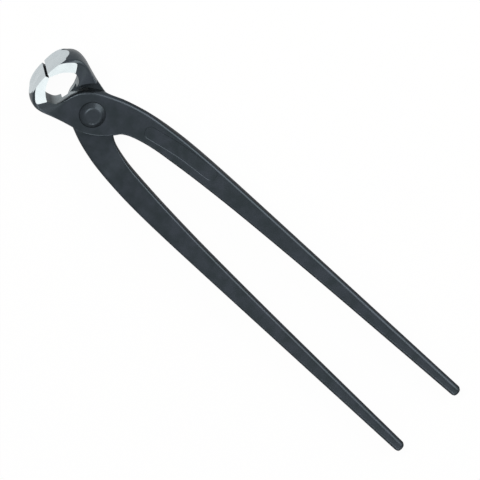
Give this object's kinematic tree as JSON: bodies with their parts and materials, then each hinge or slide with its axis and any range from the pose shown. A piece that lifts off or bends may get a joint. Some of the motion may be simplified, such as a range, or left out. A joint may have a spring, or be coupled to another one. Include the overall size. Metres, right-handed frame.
{
  "type": "end-cutting nippers",
  "caption": "Long-handled steel end-cutting nippers: forged levers crossing at a coned rivet, with a round hollow behind wide ground cutting edges.",
  "frame": {"origin": "centre of the rivet's lower flat end face, on the axis that both levers turn about", "axes": "+X from the rivet towards the handle ends, +Y towards the upper lever's handle, +Z along the rivet, out of the upper lever's flat side"},
  "size_m": [0.28, 0.0472, 0.0246],
  "materials": {
    "upper_lever": "satin",
    "lower_lever": "satin",
    "rivet": "satin"
  },
  "bodies": {
    "lower": {"lower_lever": "lower_lever", "rivet": "rivet"},
    "upper": {"upper_lever": "upper_lever"}
  },
  "joints": [
    {"name": "pivot", "type": "hinge", "parent": "lower", "child": "upper", "pos_m": [0, 0, 0.0101], "axis": [0, 0, 1], "range_deg": [-0.5, 55]}
  ]
}
